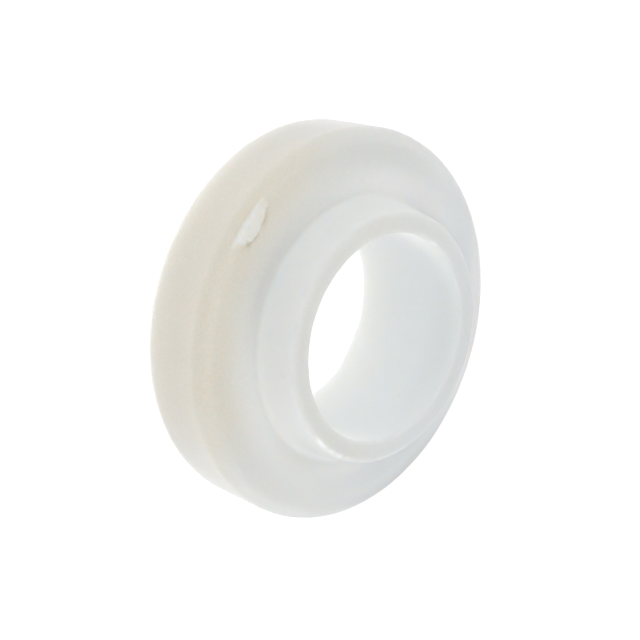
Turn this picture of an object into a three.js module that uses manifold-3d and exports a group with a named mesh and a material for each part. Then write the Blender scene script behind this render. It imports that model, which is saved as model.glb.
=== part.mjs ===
// A stepped plastic washer for an M8 bolt: a thick round body with a flat back, a front that slopes
// up towards the middle, and a short tapered collar around the bore. It is one moulding.
// Millimetres. The washer lies on its flat back at z = 0, with the bore's axis on +Z.

import * as THREE from 'three';
import { mergeVertices } from 'three/addons/utils/BufferGeometryUtils.js';
import Module from 'manifold-3d';

// Driving dimensions
const BORE_RADIUS = 4.2; // clears an M8 bolt
const RIM_CORNER_RADIUS = 8.02; // where the rim and the sloping shoulder would meet without their rounding
const BACK_RADIUS = 7.71; // the rim tapers a little towards the back
const TOTAL_HEIGHT = 5.6; // from the back to the end of the collar
const COLLAR_HEIGHT = 1.75; // the collar, above where it meets the shoulder
const COLLAR_FOOT_RADIUS = 5.33;
const COLLAR_END_RADIUS = 5.06;
const SHOULDER_DROP = 0.39; // the shoulder's fall from the collar to the rim

// Roundings of the section's corners
const BORE_BACK_ROUND = 0.25;
const BACK_EDGE_ROUND = 0.5;
const RIM_ROUND = 0.7;
const COLLAR_FOOT_FILLET = 0.35;
const COLLAR_EDGE_ROUND = 0.26;
const BORE_MOUTH_ROUND = 0.12;

// The mark that the moulding gate leaves: a low half-round pad on the shoulder's outer corner, at +X
const GATE_HALF_WIDTH = 1.1; // along the rim
const GATE_REACH = 1.0; // from the rim towards the collar
const GATE_HEIGHT = 0.12; // above the shoulder

// How finely round shapes are divided
const TURN_SEGMENTS = 96;
const LARGE_ROUND_STEPS = 6;
const SMALL_ROUND_STEPS = 3;
const GATE_SEGMENTS = 24;
const MERGE_DISTANCE = 1e-5; // vertices closer than this are one

const shoulderTop = TOTAL_HEIGHT - COLLAR_HEIGHT;
const rimTop = shoulderTop - SHOULDER_DROP;

const wasm = await Module();
wasm.setup();

// The points of an arc that rounds one corner of an outline, tangent to both of its sides.
function roundedCorner(before, corner, after, radius, steps) {
  const towardsBefore = before.clone().sub(corner).normalize();
  const towardsAfter = after.clone().sub(corner).normalize();
  const halfAngle = Math.acos(towardsBefore.dot(towardsAfter)) / 2;
  const bisector = towardsBefore.clone().add(towardsAfter).normalize();
  const centre = corner.clone().addScaledVector(bisector, radius / Math.sin(halfAngle));
  const setback = radius / Math.tan(halfAngle);
  const first = corner.clone().addScaledVector(towardsBefore, setback).sub(centre);
  const last = corner.clone().addScaledVector(towardsAfter, setback).sub(centre);
  const turn = Math.atan2(first.cross(last), first.dot(last));
  const points = [];
  for (let step = 0; step <= steps; step += 1) {
    const angle = first.angle() + (turn * step) / steps;
    points.push(new THREE.Vector2(Math.cos(angle), Math.sin(angle)).multiplyScalar(radius).add(centre));
  }
  return points;
}

// A closed outline of [radius, height, rounding, steps] corners, with every corner rounded.
function roundedOutline(corners) {
  const sharp = corners.map(([radius, height]) => new THREE.Vector2(radius, height));
  const count = sharp.length;
  const points = corners.flatMap(([, , rounding, steps], i) => {
    const before = sharp[(i + count - 1) % count];
    const after = sharp[(i + 1) % count];
    return roundedCorner(before, sharp[i], after, rounding, steps);
  });
  return [...points, points[0].clone()];
}

// A body of revolution about +Z.
function turned(outline) {
  return new THREE.LatheGeometry(outline, TURN_SEGMENTS).rotateX(Math.PI / 2);
}

// A closed geometry as a solid that can be joined and cut.
function solidOf(geometry) {
  const bare = geometry.clone();
  bare.deleteAttribute('normal');
  bare.deleteAttribute('uv');
  const merged = mergeVertices(bare, MERGE_DISTANCE);
  return new wasm.Manifold(new wasm.Mesh({
    numProp: 3,
    vertProperties: merged.getAttribute('position').array,
    triVerts: new Uint32Array(merged.index.array),
  }));
}

function geometryOf(solid) {
  const mesh = solid.getMesh();
  const geometry = new THREE.BufferGeometry();
  geometry.setAttribute('position', new THREE.BufferAttribute(new Float32Array(mesh.vertProperties), 3));
  geometry.setIndex(new THREE.BufferAttribute(new Uint32Array(mesh.triVerts), 1));
  geometry.computeVertexNormals();
  return geometry;
}

function washerBody() {
  const corners = [
    [BORE_RADIUS, 0, BORE_BACK_ROUND, SMALL_ROUND_STEPS],
    [BACK_RADIUS, 0, BACK_EDGE_ROUND, LARGE_ROUND_STEPS],
    [RIM_CORNER_RADIUS, rimTop, RIM_ROUND, LARGE_ROUND_STEPS],
    [COLLAR_FOOT_RADIUS, shoulderTop, COLLAR_FOOT_FILLET, SMALL_ROUND_STEPS],
    [COLLAR_END_RADIUS, TOTAL_HEIGHT, COLLAR_EDGE_ROUND, SMALL_ROUND_STEPS],
    [BORE_RADIUS, TOTAL_HEIGHT, BORE_MOUTH_ROUND, SMALL_ROUND_STEPS],
  ];
  return solidOf(turned(roundedOutline(corners)));
}

// A low dome lying on the shoulder's slope, cut off upright just inside the rim.
function gateMark() {
  const slope = Math.atan2(SHOULDER_DROP, RIM_CORNER_RADIUS - COLLAR_FOOT_RADIUS);
  const cutRadius = RIM_CORNER_RADIUS - RIM_ROUND / 2;
  const dome = new THREE.SphereGeometry(1, GATE_SEGMENTS, GATE_SEGMENTS / 2)
    .scale(GATE_REACH, GATE_HALF_WIDTH, GATE_HEIGHT)
    .rotateY(slope)
    .translate(RIM_CORNER_RADIUS, 0, rimTop);
  const withinRim = new THREE.CylinderGeometry(cutRadius, cutRadius, TOTAL_HEIGHT, TURN_SEGMENTS)
    .rotateX(Math.PI / 2)
    .translate(0, 0, TOTAL_HEIGHT / 2);
  return solidOf(dome).intersect(solidOf(withinRim));
}

function steppedWasher() {
  const naturalNylon = new THREE.MeshStandardMaterial({
    color: '#d8d6cc',
    roughness: 0.42,
    metalness: 0,
  });
  const washer = new THREE.Mesh(geometryOf(washerBody().add(gateMark())), naturalNylon);
  washer.name = 'stepped_washer';
  return washer;
}

const object = new THREE.Group();
object.add(steppedWasher());

export default object;
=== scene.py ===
"""The looks of a stepped nylon washer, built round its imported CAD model.

The scene is in metres, Z up, with the washer's flat back on the floor. The shape is worked out in
millimetres: a section that is turned about the bore's axis, with a raised gate mark at azimuth 0.
"""

import math
from collections import namedtuple

import bpy
from mathutils import Matrix, Vector, noise


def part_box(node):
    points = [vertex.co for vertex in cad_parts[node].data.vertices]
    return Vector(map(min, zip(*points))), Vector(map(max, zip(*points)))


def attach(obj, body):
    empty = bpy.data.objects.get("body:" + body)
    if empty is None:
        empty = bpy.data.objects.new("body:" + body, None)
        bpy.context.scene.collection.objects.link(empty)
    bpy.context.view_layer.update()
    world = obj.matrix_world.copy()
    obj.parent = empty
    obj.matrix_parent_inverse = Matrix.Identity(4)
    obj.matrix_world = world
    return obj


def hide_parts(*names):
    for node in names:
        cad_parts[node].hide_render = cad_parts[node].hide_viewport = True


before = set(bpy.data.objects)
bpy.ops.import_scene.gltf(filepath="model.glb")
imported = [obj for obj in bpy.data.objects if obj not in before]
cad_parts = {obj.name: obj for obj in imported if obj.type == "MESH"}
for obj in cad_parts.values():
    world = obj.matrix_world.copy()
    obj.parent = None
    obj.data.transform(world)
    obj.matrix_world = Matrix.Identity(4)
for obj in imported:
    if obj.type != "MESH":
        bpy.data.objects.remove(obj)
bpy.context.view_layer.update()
NODE = "stepped_washer"

MM = 0.001
LOW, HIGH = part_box(NODE)

# The washer's section, in millimetres
HEIGHT = (HIGH.z - LOW.z) / MM
RIM_CORNER_RADIUS = 8.02
BACK_RADIUS = 7.71
BORE_RADIUS = 4.2
COLLAR_HEIGHT = 1.75
COLLAR_FOOT_RADIUS = 5.33
COLLAR_END_RADIUS = 5.06
SHOULDER_DROP = 0.39
SHOULDER_TOP = HEIGHT - COLLAR_HEIGHT
RIM_TOP = SHOULDER_TOP - SHOULDER_DROP

# Roundings of the section's corners
BORE_BACK_ROUND = 0.25
BACK_EDGE_ROUND = 0.5
RIM_ROUND = 0.7
COLLAR_FOOT_FILLET = 0.35
COLLAR_EDGE_ROUND = 0.26
BORE_MOUTH_ROUND = 0.12

# The gate mark, on the shoulder's outer corner at +X: half its length along the rim, how far its crest
# and its inner end lie from that corner, how high it stands, and how deep its groove is
GATE_HALF_WIDTH = 1.1
GATE_CREST = 0.36
GATE_REACH = 0.93
GATE_HEIGHT = 0.13
GATE_FOOT_DEPTH = 0.09

# Where the collar's end edge and the bore's mouth are rubbed, as azimuths in degrees, how many degrees
# to either side, and how nearly flat
EDGE_RUB = 94
MOUTH_RUB = -86
RUB_SPREAD = 16
RUB_FLATNESS = 0.9

# How finely the washer is divided around its axis, more finely across the gate mark
AROUND_STEPS = 360
GATE_SPREAD = math.radians(11)
GATE_STEPS = 90

# The azimuth of the side that the photograph was taken from
CAMERA_SIDE = math.radians(20)


def lerp(a, b, t):
    """The value a share t of the way from a to b."""
    return a + (b - a) * t


def clamp(value, low, high):
    """The value itself between low and high, or else the nearer of the two."""
    return min(max(value, low), high)


def smoothstep(low, high, x):
    """Rises smoothly from 0 at low to 1 at high. It falls where high is the smaller of the two."""
    t = clamp((x - low) / (high - low), 0.0, 1.0)
    return t * t * (3 - 2 * t)


def bell(distance, reach):
    """A smooth hump that is 1 at distance 0 and has mostly died away at twice its reach."""
    return math.exp(-((distance / reach) ** 2))


def polar(point):
    """A point's azimuth, in radians, and its radius."""
    return math.atan2(point.y, point.x), math.hypot(point.x, point.y)


def degrees_apart(azimuth, other):
    """The angle between an azimuth in radians and one in degrees, in degrees."""
    return abs((math.degrees(azimuth) - other + 180) % 360 - 180)


def rounded_corner(before, corner, after, radius, steps):
    """The points of an arc that rounds one corner of an outline, tangent to both of its sides."""
    to_before = (before - corner).normalized()
    to_after = (after - corner).normalized()
    half_angle = math.acos(to_before.dot(to_after)) / 2
    centre = corner + (to_before + to_after).normalized() * (radius / math.sin(half_angle))
    setback = radius / math.tan(half_angle)
    first = corner + to_before * setback - centre
    last = corner + to_after * setback - centre
    turn = math.atan2(first.x * last.y - first.y * last.x, first.dot(last))
    start = math.atan2(first.y, first.x)
    angles = (start + turn * step / steps for step in range(steps + 1))
    return [centre + Vector((math.cos(a), math.sin(a))) * radius for a in angles]


def edge_wear(azimuth, seed):
    """How much an edge's rounding grows or shrinks along its length, as a share of itself."""
    place = Vector((math.cos(azimuth) * 3, math.sin(azimuth) * 3, seed))
    return 1 + 0.35 * noise.noise(place) + 0.2 * noise.noise(place * 4.1)


Corner = namedtuple("Corner", "radius height rounding rubbed steps side_steps")


def section_corners(azimuth):
    """The section's corners at an azimuth, from the bore's back edge round to its mouth.

    rubbed is how far a rounding is worn to a flat facet, steps is for the rounding itself, and
    side_steps is for the straight side after it.
    """
    edge_rubbed = RUB_FLATNESS * bell(degrees_apart(azimuth, EDGE_RUB), RUB_SPREAD)
    mouth_rubbed = RUB_FLATNESS * bell(degrees_apart(azimuth, MOUTH_RUB), RUB_SPREAD)
    bore_back_round = BORE_BACK_ROUND * edge_wear(azimuth, 1)
    collar_edge_round = COLLAR_EDGE_ROUND * edge_wear(azimuth, 3) * (1 - 0.3 * edge_rubbed)
    bore_mouth_round = BORE_MOUTH_ROUND * edge_wear(azimuth, 4)
    return [
        Corner(BORE_RADIUS, 0, bore_back_round, 0, 6, 14),
        Corner(BACK_RADIUS, 0, BACK_EDGE_ROUND, 0, 10, 20),
        Corner(RIM_CORNER_RADIUS, RIM_TOP, RIM_ROUND, 0, 18, 48),
        Corner(COLLAR_FOOT_RADIUS, SHOULDER_TOP, COLLAR_FOOT_FILLET, 0, 10, 14),
        Corner(COLLAR_END_RADIUS, HEIGHT, collar_edge_round, edge_rubbed, 8, 6),
        Corner(BORE_RADIUS, HEIGHT, bore_mouth_round, mouth_rubbed, 6, 24),
    ]


def section(azimuth):
    """The closed section at an azimuth, as (radius, height) points in millimetres."""
    corners = section_corners(azimuth)
    sharp = [Vector((corner.radius, corner.height)) for corner in corners]
    arcs = []
    for i, corner in enumerate(corners):
        after = sharp[(i + 1) % len(sharp)]
        arc = rounded_corner(sharp[i - 1], sharp[i], after, corner.rounding, corner.steps)
        facet = [arc[0].lerp(arc[-1], step / corner.steps) for step in range(corner.steps + 1)]
        arcs.append([point.lerp(flat, corner.rubbed) for point, flat in zip(arc, facet)])
    points = []
    for i, corner in enumerate(corners):
        points += arcs[i]
        start, end = arcs[i][-1], arcs[(i + 1) % len(arcs)][0]
        points += [start.lerp(end, step / corner.side_steps) for step in range(1, corner.side_steps)]
    return points


def azimuths():
    """The azimuths of the sections, closer together across the gate mark."""
    near = [lerp(-GATE_SPREAD, GATE_SPREAD, i / GATE_STEPS) for i in range(GATE_STEPS)]
    rest = 2 * math.pi - 2 * GATE_SPREAD
    return near + [GATE_SPREAD + rest * i / AROUND_STEPS for i in range(AROUND_STEPS)]


def gate_place(point):
    """A point's place beside the gate mark: along the rim, and inwards from the shoulder's corner.

    Below the corner, on the rim, inwards is negative.
    """
    azimuth, radius = polar(point)
    along = azimuth * RIM_CORNER_RADIUS
    inwards = math.hypot(RIM_CORNER_RADIUS - radius, max(point.z - RIM_TOP, 0))
    if point.z < RIM_TOP - 0.1:
        inwards = point.z - RIM_TOP
    return along, inwards


def gate_relief(point):
    """How high the gate mark stands at a point, how torn white it is, and its painted groove shadow, 0
    to 1.
    """
    along, inwards = gate_place(point)
    if abs(along) > 2 or inwards > 2 or inwards < -0.4 or point.z > SHOULDER_TOP + 0.2:
        return 0.0, 0.0, 0.0

    # The pad is an oval that falls away towards the rim, with a ragged outline where ring is about 1
    ragged = 0.20 * noise.noise(point * 2.3) + 0.14 * noise.noise(point * 5.6)
    depth = (inwards - GATE_CREST) / (GATE_REACH - GATE_CREST)
    ring = math.hypot(along / GATE_HALF_WIDTH, depth) + ragged
    bump = GATE_HEIGHT * smoothstep(1.1, 0.65, ring) * smoothstep(-0.15, 0.65, inwards)

    # A groove follows the pad's inner side, and breaks off here and there; painted shadow darkens it
    broken = clamp(0.6 + 0.9 * noise.noise(point * 2.9 + Vector((3, 1, 5))), 0.2, 1.0)
    foot = bell(ring - 1.1, 0.22) * smoothstep(0.45, 1.0, inwards) * broken

    # A torn white crest runs along its outer side, and the rest of the pad is half as white
    waver = 0.08 * noise.noise(point * 2.6) + 0.06 * noise.noise(point * 7.3)
    crest_line = GATE_CREST - 0.12 * along ** 2 + waver
    crest_width = 0.19 + 0.07 * noise.noise(point * 3.7) - 0.06 * abs(along)
    crest = bell(inwards - crest_line, crest_width) * smoothstep(1.5, 0.9, abs(along))
    crest = max(crest, 0.5 * smoothstep(1.05, 0.75, ring) * smoothstep(0.15, 0.35, inwards))
    torn_grain = 0.03 * noise.noise(point * 7) * crest
    return bump + torn_grain - GATE_FOOT_DEPTH * foot, crest, foot


# Rubbed places on the collar's end edge and on the bore's mouth, whitened as painted highlights:
# azimuth and spread in degrees, radius and reach in millimetres, and strength
RubHighlight = namedtuple("RubHighlight", "azimuth spread radius reach strength")
RUB_HIGHLIGHTS = [
    RubHighlight(92, 9, COLLAR_END_RADIUS - 0.08, 0.07, 1.0),
    RubHighlight(107, 3, COLLAR_END_RADIUS - 0.08, 0.09, 1.0),
    RubHighlight(158, 12, COLLAR_END_RADIUS - 0.05, 0.07, 0.6),
    RubHighlight(-86, 10, BORE_RADIUS + 0.04, 0.08, 0.45),
]


def rubbed_and_highlight(point):
    """How much a point on the collar's end edges is rubbed and whitened as a painted highlight, 0 to 1.
    """
    if point.z < HEIGHT - 0.3:
        return 0.0
    azimuth, radius = polar(point)
    total = 0.0

    # Each place lies a little below the end face, and reaches further downwards than across
    for rub_highlight in RUB_HIGHLIGHTS:
        away = math.hypot(radius - rub_highlight.radius, (HEIGHT - 0.06 - point.z) * 0.6)
        near = bell(degrees_apart(azimuth, rub_highlight.azimuth), rub_highlight.spread) * bell(away, rub_highlight.reach)
        total += rub_highlight.strength * near

    # It is broken up into dots and dashes
    broken = clamp(0.65 + 1.7 * noise.noise(point * 2.9 + Vector((7, 2, 4))), 0.0, 1.0)
    return min(total * broken, 1.0)


# Soft patches of painted shading and painted light, where less or more light falls on the plastic:
# azimuth and spread in degrees, radius, height and reach in millimetres, and change as a share of the
# colour. ALL_ROUND is a spread so wide that the patch fades nowhere on the way round.
ShadingPatch = namedtuple("ShadingPatch", "azimuth spread radius height reach change")
ALL_ROUND = 999
PAINTED_SHADING_PATCHES = [
    # the collar's end face and the bore
    ShadingPatch(0, ALL_ROUND, 4.6, HEIGHT, 0.45, -0.04),
    ShadingPatch(0, ALL_ROUND, BORE_RADIUS, 3.6, 2.6, -0.085),
    ShadingPatch(200, 55, BORE_RADIUS, 5.0, 0.9, -0.07),
    # the collar's wall
    ShadingPatch(103, 18, 5.2, HEIGHT - 0.9, 0.8, -0.12),
    ShadingPatch(-45, 16, 5.2, HEIGHT - 0.9, 0.8, -0.02),
    # the rim
    ShadingPatch(80, 24, 7.85, 1.4, 1.8, -0.13),
    ShadingPatch(78, 16, 7.7, 0.2, 0.7, -0.07),
    ShadingPatch(-48, 28, 7.85, 1.8, 1.6, -0.12),
    ShadingPatch(-8, 25, 7.75, 0.2, 0.6, 0.08),
    ShadingPatch(20, 100, 7.9, 1.5, 1.8, -0.045),
    # the rim's front corner, with a painted shadow and painted light
    ShadingPatch(160, 25, 7.72, RIM_TOP - 0.02, 0.34, -0.27),
    ShadingPatch(-147, 19, 7.5, RIM_TOP, 0.55, 0.20),
    ShadingPatch(-110, 12, 7.6, RIM_TOP, 0.6, -0.06),
    # the shoulder, with painted shading at the collar's foot and painted light in places
    ShadingPatch(15, 28, 5.75, SHOULDER_TOP, 0.28, -0.06),
    ShadingPatch(92, 50, 6.0, SHOULDER_TOP, 0.9, 0.10),
    ShadingPatch(132, 18, 5.7, SHOULDER_TOP, 0.4, 0.08),
    ShadingPatch(170, 18, 5.7, SHOULDER_TOP, 0.45, -0.09),
    ShadingPatch(195, 36, 6.4, SHOULDER_TOP, 0.7, -0.06),
    ShadingPatch(220, 25, 5.7, SHOULDER_TOP, 0.4, -0.06),
    ShadingPatch(-75, 32, 6.0, SHOULDER_TOP, 0.6, 0.17),
    ShadingPatch(-25, 22, 6.7, SHOULDER_TOP, 0.5, 0.04),
]


def painted_shading(point):
    """How much painted light or shading falls at a point, as a multiple of the plastic's colour."""
    azimuth, radius = polar(point)
    level = 1.0
    for patch in PAINTED_SHADING_PATCHES:
        away = math.hypot(radius - patch.radius, point.z - patch.height)
        near = bell(degrees_apart(azimuth, patch.azimuth), patch.spread) * bell(away, patch.reach)
        level += patch.change * near
    return level


def tints(point):
    """How much painted warm light, painted cool light and collar-wall glow a point has, each from 0 to
    1.
    """
    azimuth, radius = polar(point)
    towards_camera = math.cos(azimuth - CAMERA_SIDE)

    # Painted warm light on the camera's side, further round on the rim than on the shoulder, and less at
    # the back
    edge_of_warm_light = lerp(-0.05, 0.36, smoothstep(RIM_TOP - 0.7, RIM_TOP + 0.1, point.z))
    painted_warm_light = smoothstep(5.2, 7.5, radius) * smoothstep(edge_of_warm_light, 0.9, towards_camera)
    painted_warm_light *= lerp(0.5, 1.0, smoothstep(0.1, 1.3, point.z))

    # Painted cool light on the far side, towards the collar
    painted_cool_light = smoothstep(0.5, 3.5, point.z) * smoothstep(0.2, -0.8, towards_camera)

    # Clearer and lighter within the collar's radius, most of all on its outside, but not on its end
    # face:
    # partly the plastic's own colour where it is narrow, partly painted light for the glow through it
    collar_wall = smoothstep(5.5, 5.24, radius) * smoothstep(HEIGHT, HEIGHT - 0.3, point.z)
    narrow_wall_and_glow = collar_wall * lerp(0.2, 1.0, smoothstep(4.3, 4.8, radius))
    return painted_warm_light, painted_cool_light, narrow_wall_and_glow


def surface_relief(point):
    """The slight unevenness that cooling leaves in a thick moulding, in millimetres."""
    return 0.010 * noise.noise(point * 0.55) + 0.004 * noise.noise(point * 1.7 + Vector((9, 4, 2)))


def turned_mesh():
    """The section turned about the axis, in millimetres, before any relief."""
    vertices = []
    for azimuth in azimuths():
        turn = Matrix.Rotation(azimuth, 3, "Z")
        vertices.append([turn @ Vector((p.x, 0, p.y)) for p in section(azimuth)])
    around, across = len(vertices), len(vertices[0])
    faces = []
    for i in range(around):
        here, ahead = i * across, (i + 1) % around * across
        for j in range(across):
            beside = (j + 1) % across
            faces.append((here + j, ahead + j, ahead + beside, here + beside))
    mesh = bpy.data.meshes.new("washer")
    mesh.from_pydata([vertex for ring in vertices for vertex in ring], [], faces)
    mesh.update()
    return mesh


# What each vertex tells the material: shares from 0 to 1, and the painted shading as a multiple of the
# colour
LOOKS = ("torn", "painted_groove_shadow", "painted_warm_light", "painted_cool_light", "narrow_wall_and_glow", "rubbed_and_highlight", "painted_shading")


def washer_mesh():
    """The washer in metres, with its relief and with the looks as vertex attributes."""
    mesh = turned_mesh()
    looks = {name: [] for name in LOOKS}
    for vertex, normal in [(v, v.normal.copy()) for v in mesh.vertices]:
        relief, torn, painted_groove_shadow = gate_relief(vertex.co)
        values = (torn, painted_groove_shadow, *tints(vertex.co), rubbed_and_highlight(vertex.co), painted_shading(vertex.co))
        for name, value in zip(LOOKS, values):
            looks[name].append(value)
        on_back = smoothstep(0.3, 0.0, vertex.co.z)
        vertex.co += normal * (relief + surface_relief(vertex.co) * (1 - on_back))
    for name, values in looks.items():
        mesh.attributes.new(name, "FLOAT", "POINT").data.foreach_set("value", values)
    mesh.transform(Matrix.Scale(MM, 4))
    mesh.polygons.foreach_set("use_smooth", [True] * len(mesh.polygons))
    mesh.update()
    return mesh


def new_material(name):
    """An empty material, with its nodes and links."""
    material = bpy.data.materials.new(name)
    material.use_nodes = True
    material.node_tree.nodes.clear()
    return material, material.node_tree.nodes, material.node_tree.links


# The colours of the plastic, and of painted light and shadow on it
MILKY = (0.86, 0.87, 0.855)
# clearer and lighter on the collar's wall, partly painted light for the glow through it
NARROW_WALL_GLOW = (0.98, 0.995, 0.99)
CLEAR_WALL_GLOW = (0.955, 0.998, 0.998)
# painted warm light and painted cool light
WARM_LIGHT_TINT = (0.865, 0.81, 0.685)
COOL_LIGHT_TINT = (0.865, 0.91, 0.945)
GREEN_CLOUDS = (0.82, 0.93, 0.89)
PINK_CLOUDS = (0.97, 0.88, 0.82)
GREEN_GRAIN = (0.78, 0.90, 0.82)
PINK_GRAIN = (1.0, 0.90, 0.93)
# painted shadow in the gate mark's groove
GROOVE_SHADOW = (0.76, 0.71, 0.60)
SPECKS = (0.55, 0.53, 0.47)
TORN_WHITE = (0.995, 0.98, 0.925)
# rubbed edges, whitened as painted highlights
RUBBED_HIGHLIGHT_WHITE = (0.99, 0.99, 0.985)

# How rough the plastic is as moulded, from place to place, and where it is torn or rubbed
SMOOTHEST = 0.48
ROUGHEST = 0.62
TORN_ROUGHNESS = 0.1
RUBBED_ROUGHNESS = 0.15


def nylon():
    """Milky natural nylon: light enters it and spreads by about a millimetre."""
    material, nodes, links = new_material("natural_nylon")
    output = nodes.new("ShaderNodeOutputMaterial")
    shader = nodes.new("ShaderNodeBsdfPrincipled")
    shader.inputs["IOR"].default_value = 1.53
    shader.inputs["Sheen Weight"].default_value = 1.0
    shader.inputs["Sheen Roughness"].default_value = 0.35
    shader.inputs["Subsurface Weight"].default_value = 1.0
    shader.inputs["Subsurface Radius"].default_value = (1.0, 0.9, 0.75)
    shader.inputs["Subsurface Scale"].default_value = 1.0 * MM
    links.new(shader.outputs["BSDF"], output.inputs["Surface"])

    place = nodes.new("ShaderNodeTexCoord").outputs["Object"]

    def noise_of(scale, detail):
        node = nodes.new("ShaderNodeTexNoise")
        node.inputs["Scale"].default_value = scale
        node.inputs["Detail"].default_value = detail
        links.new(place, node.inputs["Vector"])
        return node.outputs["Fac"]

    def remap(value, low, high, to_low, to_high):
        """Takes low to to_low and high to to_high, in proportion between them and no further."""
        node = nodes.new("ShaderNodeMapRange")
        links.new(value, node.inputs["Value"])
        node.inputs["From Min"].default_value = low
        node.inputs["From Max"].default_value = high
        node.inputs["To Min"].default_value = to_low
        node.inputs["To Max"].default_value = to_high
        return node.outputs["Result"]

    def mix(factor, first, second, blend="MIX"):
        node = nodes.new("ShaderNodeMix")
        node.data_type = "RGBA"
        node.blend_type = blend
        if isinstance(factor, float):
            node.inputs["Factor"].default_value = factor
        else:
            links.new(factor, node.inputs["Factor"])
        for socket, value in (("A", first), ("B", second)):
            target = next(s for s in node.inputs if s.name == socket and s.type == "RGBA")
            if isinstance(value, tuple):
                target.default_value = (*value, 1)
            else:
                links.new(value, target)
        return next(s for s in node.outputs if s.type == "RGBA")

    def speckle(colour, scale, detail, low, high, share, tint):
        """A colour mixed with a tint where a noise is above low, up to a share where it is at high.

        scale is in waves per metre.
        """
        return mix(remap(noise_of(scale, detail), low, high, 0, share), colour, tint)

    def polish(factor, roughness, polished):
        """A roughness that turns into a polished one as the factor goes from 0 to 1."""
        node = nodes.new("ShaderNodeMix")
        links.new(factor, node.inputs["Factor"])
        links.new(roughness, node.inputs["A"])
        node.inputs["B"].default_value = polished
        return node.outputs["Result"]

    def attribute(name):
        node = nodes.new("ShaderNodeAttribute")
        node.attribute_name = name
        return node.outputs["Fac"]

    # The plastic itself, with the glow of the collar's wall and painted warm and cool light
    colour = mix(attribute("narrow_wall_and_glow"), MILKY, NARROW_WALL_GLOW)
    colour = mix(attribute("painted_warm_light"), colour, WARM_LIGHT_TINT)
    colour = mix(attribute("painted_cool_light"), colour, COOL_LIGHT_TINT)

    # Faint clouds of a millimetre or so, then a fine grain, both mostly hidden on the collar's wall
    colour = speckle(colour, 900, 5, 0.35, 0.7, 0.12, GREEN_CLOUDS)
    colour = speckle(colour, 1300, 5, 0.45, 0.75, 0.10, PINK_CLOUDS)
    colour = speckle(colour, 8500, 2, 0.4, 0.65, 0.28, GREEN_GRAIN)
    colour = speckle(colour, 10500, 2, 0.4, 0.65, 0.32, PINK_GRAIN)
    # Painted light for the glow through the collar's wall, over the clearer plastic there
    colour = mix(remap(attribute("narrow_wall_and_glow"), 0, 1, 0, 0.9), colour, CLEAR_WALL_GLOW)
    # Painted light and shading, in soft patches where more or less light falls
    colour = mix(1.0, colour, attribute("painted_shading"), "MULTIPLY")

    # Painted shadow in the gate mark's groove, then what has happened to it since
    colour = mix(remap(attribute("painted_groove_shadow"), 0, 1, 0, 0.9), colour, GROOVE_SHADOW)
    colour = speckle(colour, 4200, 2, 0.73, 0.79, 0.2, SPECKS)
    colour = mix(attribute("torn"), colour, TORN_WHITE)
    # Painted highlights where the edges are rubbed
    colour = mix(attribute("rubbed_and_highlight"), colour, RUBBED_HIGHLIGHT_WHITE)
    links.new(colour, shader.inputs["Base Color"])

    roughness = remap(noise_of(700, 4), 0.3, 0.7, SMOOTHEST, ROUGHEST)
    roughness = polish(attribute("torn"), roughness, TORN_ROUGHNESS)
    roughness = polish(attribute("rubbed_and_highlight"), roughness, RUBBED_ROUGHNESS)
    links.new(roughness, shader.inputs["Roughness"])

    # A texture too fine to be part of the mesh
    bump = nodes.new("ShaderNodeBump")
    bump.inputs["Strength"].default_value = 0.4
    bump.inputs["Distance"].default_value = 0.02 * MM
    links.new(noise_of(6000, 3), bump.inputs["Height"])
    links.new(bump.outputs["Normal"], shader.inputs["Normal"])
    return material


def add_washer():
    """The visible washer, which stands for the CAD node."""
    washer = bpy.data.objects.new("nylon_washer", washer_mesh())
    bpy.context.scene.collection.objects.link(washer)
    washer.data.materials.append(nylon())
    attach(washer, "root")
    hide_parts(NODE)


# The floor's own light, how light its colour is, half its width, and how far it lies under the washer
FLOOR_GLOW = 0.95
FLOOR_GREY = 0.15
FLOOR_HALF = 1.2
FLOOR_DROP = 0.02 * MM


def add_floor():
    """A bright pale floor, lit through like a light table, just under the washer."""
    material, nodes, links = new_material("pale_floor")
    output = nodes.new("ShaderNodeOutputMaterial")
    glow = nodes.new("ShaderNodeEmission")
    glow.inputs["Strength"].default_value = FLOOR_GLOW
    matt = nodes.new("ShaderNodeBsdfDiffuse")
    matt.inputs["Color"].default_value = (FLOOR_GREY, FLOOR_GREY, FLOOR_GREY, 1)
    both = nodes.new("ShaderNodeAddShader")
    links.new(glow.outputs[0], both.inputs[0])
    links.new(matt.outputs[0], both.inputs[1])
    links.new(both.outputs[0], output.inputs["Surface"])
    signs = ((-1, -1), (1, -1), (1, 1), (-1, 1))
    corners = [(x * FLOOR_HALF, y * FLOOR_HALF, -FLOOR_DROP) for x, y in signs]
    mesh = bpy.data.meshes.new("floor")
    mesh.from_pydata(corners, [], [(0, 1, 2, 3)])
    floor = bpy.data.objects.new("floor", mesh)
    floor.data.materials.append(material)
    floor.visible_diffuse = False
    floor.visible_shadow = False
    bpy.context.scene.collection.objects.link(floor)


# The camera's view of the washer: how far the bore's axis leans from the line of sight, which way it
# leans in the picture, and how the washer is turned on that axis to bring the gate mark round.
AXIS_LEAN = math.radians(47.45)
LEAN_DIRECTION = math.radians(-17.5)
GATE_TURN = math.radians(160)

# The middle of the collar's end as the camera sees it: how far to the right, upwards and behind it
CAMERA_DISTANCE = 196 * MM
COLLAR_IN_VIEW = Vector((2.593 * MM, -0.712 * MM, -CAMERA_DISTANCE))

# The lens, in millimetres
FOCAL_LENGTH = 280.6
SENSOR_WIDTH = 36


def view_turn():
    """Turns a direction in the washer's frame into the camera's frame."""
    return (Matrix.Rotation(LEAN_DIRECTION, 3, "Z") @ Matrix.Rotation(AXIS_LEAN, 3, "Y")
            @ Matrix.Rotation(GATE_TURN, 3, "Z"))


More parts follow.
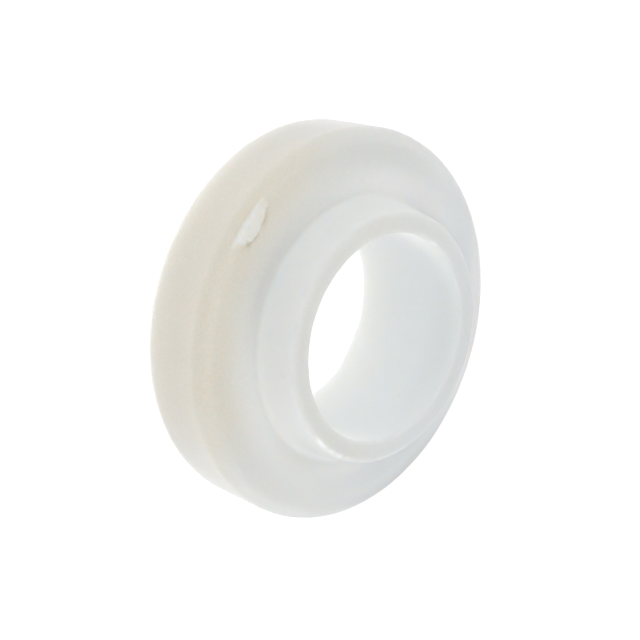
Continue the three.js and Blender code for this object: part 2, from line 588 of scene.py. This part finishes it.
def add_camera():
    """The photograph's own view."""
    data = bpy.data.cameras.new("camera")
    data.sensor_width = SENSOR_WIDTH
    data.lens = FOCAL_LENGTH
    data.clip_start, data.clip_end = 0.01, 10
    camera = bpy.data.objects.new("camera", data)
    turn = view_turn().transposed()
    collar = Vector((0, 0, HEIGHT * MM))
    camera.matrix_world = Matrix.Translation(collar - turn @ COLLAR_IN_VIEW) @ turn.to_4x4()
    bpy.context.scene.collection.objects.link(camera)
    bpy.context.scene.camera = camera


# How far every lamp is from the washer, in metres
LAMP_DISTANCE = 0.4


def add_softbox(name, azimuth, elevation, light, width, height):
    """A lamp aimed at the washer, with angles in degrees and lengths in metres.

    light is its share of the light of an even white surround.
    """
    data = bpy.data.lights.new(name, "AREA")
    data.shape = "RECTANGLE"
    data.size, data.size_y = width, height
    data.energy = light * (math.pi * LAMP_DISTANCE) ** 2
    lamp = bpy.data.objects.new(name, data)
    middle = Matrix.Translation((0, 0, HEIGHT * MM / 2))
    tip = Matrix.Rotation(math.radians(90 - elevation), 4, "X")
    turn = Matrix.Rotation(math.radians(azimuth + 90), 4, "Z")
    lamp.matrix_world = middle @ turn @ tip @ Matrix.Translation((0, 0, LAMP_DISTANCE))
    lamp.visible_camera = False
    bpy.context.scene.collection.objects.link(lamp)


# How bright the surround is at the camera's left and right, straight down, and at the horizon
SIDES_LEVEL = 0.60
BELOW_LEVEL = 2.1
HORIZON_LEVEL = 0.27

# The horizon's light has gone by 30 degrees up or down. The higher the power, the more closely the
# light from below keeps to straight down.
HORIZON_FALL = 0.54
BELOW_POWER = 3.0


def add_surround():
    """A white surround: bright at both sides and underneath, faint round the horizon, dark overhead."""
    world = bpy.data.worlds.new("studio")
    bpy.context.scene.world = world
    world.use_nodes = True
    nodes, links = world.node_tree.nodes, world.node_tree.links

    def calculate(operation, first, second=0.0):
        node = nodes.new("ShaderNodeMath")
        node.operation = operation
        for socket, value in zip(node.inputs, (first, second)):
            if isinstance(value, float):
                socket.default_value = value
            else:
                links.new(value, socket)
        return node.outputs["Value"]

    turn = nodes.new("ShaderNodeVectorRotate")
    turn.rotation_type = "Z_AXIS"
    turn.inputs["Angle"].default_value = -CAMERA_SIDE
    links.new(nodes.new("ShaderNodeTexCoord").outputs["Generated"], turn.inputs["Vector"])
    direction = nodes.new("ShaderNodeSeparateXYZ")
    links.new(turn.outputs["Vector"], direction.inputs["Vector"])
    side, up = direction.outputs["Y"], direction.outputs["Z"]
    sides = calculate("MULTIPLY", calculate("ABSOLUTE", side), SIDES_LEVEL)
    downwards = calculate("MAXIMUM", calculate("MULTIPLY", up, -1.0), 0.0)
    below = calculate("MULTIPLY", calculate("POWER", downwards, BELOW_POWER), BELOW_LEVEL)
    fall = calculate("MULTIPLY", calculate("ABSOLUTE", up), HORIZON_FALL)
    horizon = calculate("MAXIMUM", calculate("SUBTRACT", HORIZON_LEVEL, fall), 0.0)
    total = calculate("ADD", calculate("ADD", sides, below), horizon)
    links.new(total, nodes["Background"].inputs["Strength"])
    nodes["Background"].inputs["Color"].default_value = (1, 1, 1, 1)


def add_lights():
    """The surround and five lamps: name, azimuth, elevation, light, width and height."""
    add_surround()
    add_softbox("key", 28, 51, 0.285, 0.26, 0.26)
    add_softbox("near_gate", -22, 40, 0.10, 0.12, 0.09)
    add_softbox("overhead", 0, 90, 0.165, 0.26, 0.26)
    add_softbox("behind", 230, 25, 0.16, 0.26, 0.26)
    add_softbox("low_side", 143, 17, 0.19, 0.15, 0.10)


add_washer()
add_floor()
add_camera()
add_lights()
bpy.context.scene.view_settings.view_transform = "Standard"
